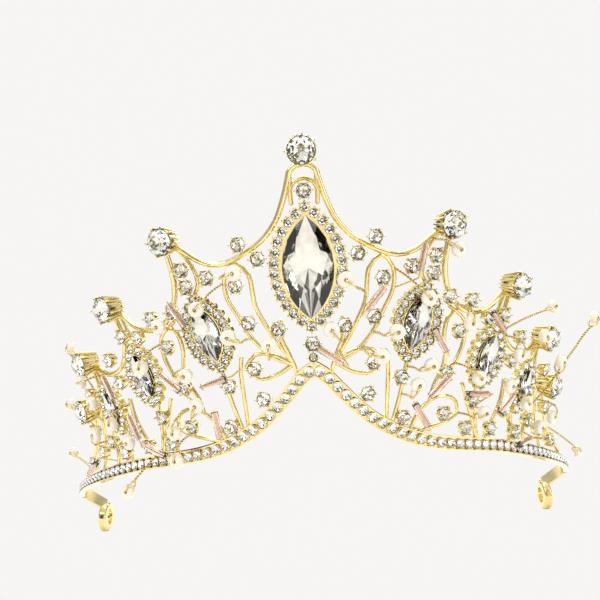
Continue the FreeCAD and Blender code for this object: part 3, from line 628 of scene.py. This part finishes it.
def basket(name, stone, cup, foot, rim, prongs, thick, first=0.0, sweep=360.0, with_cup=True, tip_every=1):
    """stone and cup are radii, foot and rim are heights below and above the seat, in metres. Only every
    so many of the prongs bends in over the stone: the rest are ribs, and stop at the rim."""
    shape = bmesh.new()
    if with_cup:
        wall = cup - 0.8 * thick
        turned(shape, [(wall * 0.62, -foot), (wall * 0.80, -foot + 0.25 * (foot + rim)), (wall * 0.92, 0.0),
                       (wall, rim), (wall - 0.5 * thick, rim), (wall - 0.7 * thick, 0.2 * rim),
                       (wall * 0.5, -0.6 * foot)])
    for n in range(prongs):
        turn = math.radians(first + sweep * n / prongs)
        out = Vector((math.cos(turn), math.sin(turn), 0))
        up = Vector((0, 0, 1))
        path = [out * (cup - 1.1 * thick) * 0.78 - up * foot,
                out * (cup - 0.9 * thick) * 0.94 - up * foot * 0.35,
                out * (cup - 0.4 * thick) + up * rim * 0.5,
                out * (cup - 0.2 * thick) + up * (rim + 0.8 * thick),
                out * (stone * 1.00) + up * (rim + 1.3 * thick),
                out * (stone * 0.90) + up * (rim + 1.5 * thick)]
        bar(shape, path if n % tip_every == 0 else path[:3], thick * 0.5)
    return finished(shape, name)


def cup_sizes(seat, corners):
    """A cup's own radius, and how far it reaches below and above the seat."""
    point, axis, _ = seat
    offsets = [Vector(c) - point for c in corners]
    ups = [o.dot(axis) for o in offsets]
    outs = [(o - axis * u).length for o, u in zip(offsets, ups)]
    return max(outs), -min(ups), max(ups)


def matching_cup(seat, cups):
    return min(cups, key=lambda c: (Vector(c.mean(axis=0)) - seat[0]).length)


small_cups = shells("left_claw_cups")
tall_cups = shells("peak_cups")
claw_cup, claw_foot, claw_rim = cup_sizes(claw_seats[0], matching_cup(claw_seats[0], small_cups))
peak_cup, peak_foot, peak_rim = cup_sizes(peak_seats[0], matching_cup(peak_seats[0], tall_cups))
print("claw cup", claw_cup, claw_foot, claw_rim, "peak cup", peak_cup, peak_foot, peak_rim)

CLAW_PRONGS, CLAW_PRONG = 6, 0.42 * MM
PEAK_PRONGS, PEAK_PRONG = 15, 0.55 * MM
claw_basket = basket("claw_basket", claw_seats[0][2], claw_cup, claw_foot, claw_rim, CLAW_PRONGS,
                     CLAW_PRONG)
peak_basket = basket("peak_basket", peak_seats[0][2], peak_cup, peak_foot, peak_rim, PEAK_PRONGS,
                     PEAK_PRONG, tip_every=3)
apex = min(claw_seats, key=lambda s: s[2])
big_claws = [s for s in claw_seats if s is not apex]
crown_piece(on_seats("claw_baskets", claw_basket, big_claws, bright_gold, sized=False), "gold_plate",
            "left_claw_cups", "right_claw_cups", "centre_claw_cups")
crown_piece(on_seats("peak_baskets", peak_basket, peak_seats, bright_gold, sized=False), "gold_plate",
            "peak_cups")

# %% [markdown]
# ## The halos' claws
# Round each big stone runs a ring of small ones, each in its own cup. Every cup has three stubby claws on
# its outer side, which give the halo its toothed edge. The second direction of each seat points out from
# the big stone, so the claws fall on the outside.

# %% Halo claws


def outward(name):
    middle = Vector(main_axes(shells(f"{name}_marquise_stone")[0])[0])
    places = []
    for point, axis, radius in halo_seats[name]:
        away = point - middle
        away -= axis * away.dot(axis)
        places.append((point, axis, radius, away.normalized()))
    return places


HALO_CUP = 1.325 * MM           # radius, as in the CAD
HALO_FOOT = 0.7 * MM
HALO_CLAW = 0.42 * MM           # a claw's thickness
halo_radius = all_halo[0][2]
halo_claw = basket("halo_claw", halo_radius, HALO_CUP + 0.15 * MM, HALO_FOOT, 0.45 * MM, 3, HALO_CLAW,
                   -50.0, 150.0, with_cup=False)
crown_piece(on_seats("halo_claws", halo_claw, [p for name in SETTINGS for p in outward(name)], bright_gold,
                     sized=False), "gold_plate")
apex_basket = basket("apex_basket", apex[2], HALO_CUP, HALO_FOOT, 0.5 * MM, 4, 0.4 * MM)
crown_piece(on_seats("apex_basket", apex_basket, [apex], bright_gold, sized=False), "gold_plate")

# %% [markdown]
# ## The band's little cups
# The band's stones lie nearly edge to edge in a channel. A thin collar round each holds it, and that is
# what draws the row of fine gold rings.

# %% Band collars


def collar(name, radius, thick, height):
    shape = bmesh.new()
    segments = 16
    section = [(-thick, 0.0), (-thick, height), (thick, height), (thick, 0.0)]
    rings = []
    for k in range(segments):
        turn = 2 * math.pi * k / segments
        rings.append([shape.verts.new(((radius + a) * math.cos(turn), (radius + a) * math.sin(turn), z))
                      for a, z in section])
    for k in range(segments):
        here, after = rings[k], rings[(k + 1) % segments]
        for s in range(4):
            shape.faces.new((here[s], after[s], after[(s + 1) % 4], here[(s + 1) % 4]))
    return finished(shape, name, smooth=False)


COLLAR_HALF = 0.05 * MM         # half the collar's wall, so that it just meets the stone
COLLAR_HEIGHT = 0.5 * MM
band_collar = collar("band_collar", band_seats[0][2] + COLLAR_HALF, COLLAR_HALF, COLLAR_HEIGHT)
crown_piece(on_seats("band_collars", band_collar, band_seats, bright_gold, sized=False), "gold_plate")

# %% [markdown]
# ## Twisted stems
# Each bead hangs on one wire, bent double and twisted. Two strands side by side are a profile of two small
# circles, and a curve whose tilt grows with its length winds them round each other. A slight bow keeps the
# stems from looking like rods.

# %% Twisted wire

STRAND = 0.16 * MM              # a strand's radius
TWIST_PITCH = 1.5 * MM          # length of one full turn
TWIST_STEP = 0.22 * MM          # between the cross-sections of a stem
STEM_BOW = 0.35 * MM
RING_GAP = 0.6 * MM             # between two rings of a wire's corners, at least
STEM_REACH = 0.4 * MM           # a stem's corners lie within this of its own line
LONGEST_EYE = 16 * MM           # and what is longer than this is the bent twig


def twist_tree():
    tree = bpy.data.node_groups.new("twist_wire", "GeometryNodeTree")
    face = tree.interface
    face.new_socket("Geometry", in_out="INPUT", socket_type="NodeSocketGeometry")
    for label in ("Strand Radius", "Pitch", "Step", "Bow"):
        face.new_socket(label, in_out="INPUT", socket_type="NodeSocketFloat")
    face.new_socket("Material", in_out="INPUT", socket_type="NodeSocketMaterial")
    face.new_socket("Geometry", in_out="OUTPUT", socket_type="NodeSocketGeometry")
    given = add(tree, "NodeGroupInput").outputs
    path = add(tree, "GeometryNodeMeshToCurve", None, Mesh=given["Geometry"])
    fine = add(tree, "GeometryNodeResampleCurve", {"mode": "LENGTH"}, Curve=path.outputs["Curve"],
               Length=given["Step"])
    place = add(tree, "GeometryNodeSplineParameter")
    half_turn = add(tree, "ShaderNodeMath", {"operation": "MULTIPLY"}, _0=place.outputs["Factor"], _1=math.pi)
    arch = add(tree, "ShaderNodeMath", {"operation": "SINE"}, _0=half_turn.outputs["Value"])
    rise = add(tree, "ShaderNodeMath", {"operation": "MULTIPLY"}, _0=arch.outputs["Value"], _1=given["Bow"])
    lift = add(tree, "ShaderNodeCombineXYZ", None, Z=rise.outputs["Value"])
    bowed = add(tree, "GeometryNodeSetPosition", None, Geometry=fine.outputs["Curve"],
                Offset=lift.outputs["Vector"])
    turns = add(tree, "ShaderNodeMath", {"operation": "DIVIDE"}, _0=place.outputs["Length"],
                _1=given["Pitch"])
    angle = add(tree, "ShaderNodeMath", {"operation": "MULTIPLY"}, _0=turns.outputs["Value"], _1=2 * math.pi)
    wound = add(tree, "GeometryNodeSetCurveTilt", None, Curve=bowed.outputs["Geometry"],
                Tilt=angle.outputs["Value"])
    strand = add(tree, "GeometryNodeCurvePrimitiveCircle", None, Resolution=6, Radius=given["Strand Radius"])
    away = add(tree, "ShaderNodeCombineXYZ", None, X=given["Strand Radius"])
    back = add(tree, "ShaderNodeVectorMath", {"operation": "SCALE"}, _0=away.outputs["Vector"], Scale=-1.0)
    pair = add(tree, "GeometryNodeJoinGeometry")
    for offset in (away.outputs["Vector"], back.outputs["Vector"]):
        shifted = add(tree, "GeometryNodeTransform", None, Geometry=strand.outputs["Curve"],
                      Translation=offset)
        tree.links.new(shifted.outputs["Geometry"], pair.inputs["Geometry"])
    swept = add(tree, "GeometryNodeCurveToMesh", None, Curve=wound.outputs["Curve"],
                Profile_Curve=pair.outputs["Geometry"], Fill_Caps=True)
    real = add(tree, "GeometryNodeRealizeInstances", None, Geometry=swept.outputs["Mesh"])
    dressed = add(tree, "GeometryNodeSetMaterial", None, Geometry=real.outputs["Geometry"],
                  Material=given["Material"])
    add(tree, "NodeGroupOutput", None, Geometry=dressed.outputs["Geometry"])
    return tree


TWIST_WIRE = twist_tree()


def wire_stops(points):
    """The middles of a wire's rings of corners, in order, where it is straight or gently bent."""
    middle, (long, _, _) = main_axes(points)
    order = np.argsort((points - middle) @ long)
    along = ((points - middle) @ long)[order]
    cuts = np.where(np.diff(along) > RING_GAP)[0] + 1
    return [group.mean(axis=0) for group in np.split(points[order], cuts)]


def is_stem(points):
    """A stem is long and no thicker than its two strands; an eye is wide."""
    middle, (long, _, _) = main_axes(points)
    offsets = points - middle
    out = np.linalg.norm(offsets - np.outer(offsets @ long, long), axis=1).max()
    length = np.ptp(offsets @ long)
    return out < STEM_REACH or length > LONGEST_EYE


def part_of(name, node, keep):
    """A copy of a CAD node that holds only the shells that `keep` accepts, with its corners merged."""
    shape = merged(node)
    drop = [corner for group in solids_of(shape) if not keep(np.array([v.co for v in group]))
            for corner in group]
    bmesh.ops.delete(shape, geom=drop, context="VERTS")
    mesh = bpy.data.meshes.new(name)
    shape.to_mesh(mesh)
    shape.free()
    mesh.shade_smooth()
    return linked(name, mesh)


for node in ("left_bead_wires", "right_bead_wires", "sprig_wires"):
    stems = [wire_stops(points) for points in shells(node) if is_stem(points)]
    route = bpy.data.meshes.new(node + "_routes")
    corners, runs = [], []
    for stops in stems:
        first = len(corners)
        corners += [tuple(p) for p in stops]
        runs += [(n, n + 1) for n in range(first, first + len(stops) - 1)]
    route.from_pydata(corners, runs, [])
    twisted = run_tree(node + "_stems", linked(node + "_routes", route), TWIST_WIRE, Pitch=TWIST_PITCH,
                       Step=TWIST_STEP, Bow=STEM_BOW, Material=wire_gold, **{"Strand Radius": STRAND})
    twisted.data.shade_smooth()
    crown_piece(twisted, "gold_wire", node)
    eyes = part_of(node + "_eyes", node, lambda points: not is_stem(points))
    eyes.data.materials.append(wire_gold)
    crown_piece(eyes, "gold_wire")
    print(node, len(stems), "stems", len(twisted.data.polygons), "faces")

# %% [markdown]
# ## Bugles
# A bugle is a length of clear glass cane with a coloured bore. The glass is a tube, and the lining is a
# thin metal skin in its bore that shows through it, darkest where it is seen at the ends.

# %% Bugles


def cane_seat(points):
    middle, (long, _, _) = main_axes(points)
    half = np.ptp((points - middle) @ long) / 2
    return Vector(middle - long * half), Vector(long), float(2 * half)


END_RADIUS = 0.94               # a cane's outer edge is melted round: of its radius,
END_LENGTH = 0.02               # and of its length


def tube_mesh(name, outer, inner, length, segments=16):
    shape = bmesh.new()
    section = [(inner, 0.0), (outer * END_RADIUS, 0.0), (outer, END_LENGTH * length),
               (outer, (1 - END_LENGTH) * length), (outer * END_RADIUS, length), (inner, length)]
    rings = []
    for k in range(segments):
        turn = 2 * math.pi * k / segments
        rings.append([shape.verts.new((r * math.cos(turn), r * math.sin(turn), z)) for r, z in section])
    for k in range(segments):
        here, after = rings[k], rings[(k + 1) % segments]
        for s in range(len(section)):
            t = (s + 1) % len(section)
            shape.faces.new((here[s], after[s], after[t], here[t]))
    return finished(shape, name)


bugle_nodes = ["left_bugle_beads", "right_bugle_beads"]
canes = [cane_seat(points) for node in bugle_nodes for points in shells(node)]
cane_length = canes[0][2]
CANE_RADIUS = 0.8 * MM
BORE_RADIUS = 0.4 * MM
SKIN = 0.06 * MM                # the lining's thickness
SKIN_GAP = 0.01 * MM            # between the glass and its lining
cane = tube_mesh("cane", CANE_RADIUS, BORE_RADIUS, cane_length)
skin = tube_mesh("skin", BORE_RADIUS - SKIN_GAP, BORE_RADIUS - SKIN, cane_length)
crown_piece(on_seats("bugle_canes", cane, canes, bugle_glass, sized=False), "lined_glass", *bugle_nodes)
crown_piece(on_seats("bugle_linings", skin, canes, lining, sized=False), "lined_glass")

# %% [markdown]
# ## Dressing the CAD pieces
# What the CAD already shapes right only needs its finish: bright plating on the cast and bent frame, satin
# on the plain arms, and opal on the round beads.

# %% Finishes on CAD nodes


def dress(node, material):
    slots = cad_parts[node].data.materials
    slots.clear()
    slots.append(material)


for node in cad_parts:
    if node.endswith("_arm"):
        dress(node, satin_gold)
    elif node.endswith("_bead") or node.endswith("white_beads"):
        dress(node, opal)
    elif "wires" in node:
        dress(node, wire_gold)
    elif node.endswith(("_band", "_rail", "_scrolls", "_arch", "_setting", "_loop")):
        dress(node, bright_gold)

# %% [markdown]
# ## Stage and light
# Jewellery is lit with broad soft boxes, and with dark cards between them: a polished stone or a bright
# wire has nothing to show but what it mirrors. The cards stand all round, and neither the camera nor the
# shadows see them. The floor only throws light up, so the backdrop is one even tone with no horizon.

# %% Stage and light


def card(name, place, turn, wide, tall, material, hidden=True):
    shape = bmesh.new()
    signs = ((-1, -1), (1, -1), (1, 1), (-1, 1))
    corners = [shape.verts.new((x * wide / 2, y * tall / 2, 0)) for x, y in signs]
    shape.faces.new(corners)
    mesh = finished(shape, name, smooth=False)
    mesh.transform(Matrix.Translation(place) @ turn)
    mesh.materials.append(material)
    obj = linked(name, mesh)
    if hidden:
        obj.visible_camera = False
        obj.visible_diffuse = False
        obj.visible_shadow = False
    return obj


def plain(name, hex_colour, roughness):
    material, tree = new_material(name)
    finish_material(tree, Base_Color=linear(hex_colour), Roughness=roughness)
    return material


FLOOR_DROP = 0.2 * MM           # below the crown's lowest point
FLOOR_SIZE = 6.0
floor_height = cad_box[0][2] - FLOOR_DROP
pale_floor = plain("pale_floor", "F4F2EF", 0.6)
floor = card("floor", Vector((0, 0, floor_height)), Matrix.Identity(4), FLOOR_SIZE, FLOOR_SIZE,
             pale_floor, False)
floor.visible_camera = False
dark_card = plain("dark_card", "33291D", 0.9)
CARDS = 11
CARD_REACH = 0.62
CARD_WIDTH = 0.18
CARD_HEIGHT = 0.5
CARD_MIDDLE = 0.24              # above the origin
for n in range(CARDS):
    turn = 2 * math.pi * (n + 0.25) / CARDS
    place = Vector((math.sin(turn) * CARD_REACH, math.cos(turn) * CARD_REACH, CARD_MIDDLE))
    upright = Matrix.Rotation(-turn, 4, "Z") @ Matrix.Rotation(math.pi / 2, 4, "X")
    card(f"dark_card_{n}", place, upright, CARD_WIDTH, CARD_HEIGHT, dark_card)


AIM = Vector((0, -0.02, 0.02))  # the middle of the crown's front


def soft_box(name, place, size, power):
    data = bpy.data.lights.new(name, "AREA")
    data.shape = "RECTANGLE"
    data.size, data.size_y = size
    data.energy = power
    obj = linked(name, data)
    aim = AIM - Vector(place)
    obj.matrix_world = Matrix.Translation(place) @ aim.to_track_quat("-Z", "Y").to_matrix().to_4x4()


soft_box("key", (-0.55, -0.65, 0.75), (0.5, 0.4), 3.0)
soft_box("fill", (0.75, -0.5, 0.35), (0.3, 0.6), 1.8)
soft_box("top", (0.0, 0.15, 0.9), (0.6, 0.35), 2.4)
soft_box("rim", (0.1, 0.8, 0.5), (0.6, 0.3), 2.0)

world = bpy.data.worlds.new("studio")
world.use_nodes = True
world.node_tree.nodes.clear()
sky = add(world.node_tree, "ShaderNodeBackground", None, Color=linear("FCFBF9"), Strength=0.95)
add(world.node_tree, "ShaderNodeOutputWorld", None, Surface=sky.outputs["Background"])
bpy.context.scene.world = world
bpy.context.scene.view_settings.view_transform = "Standard"
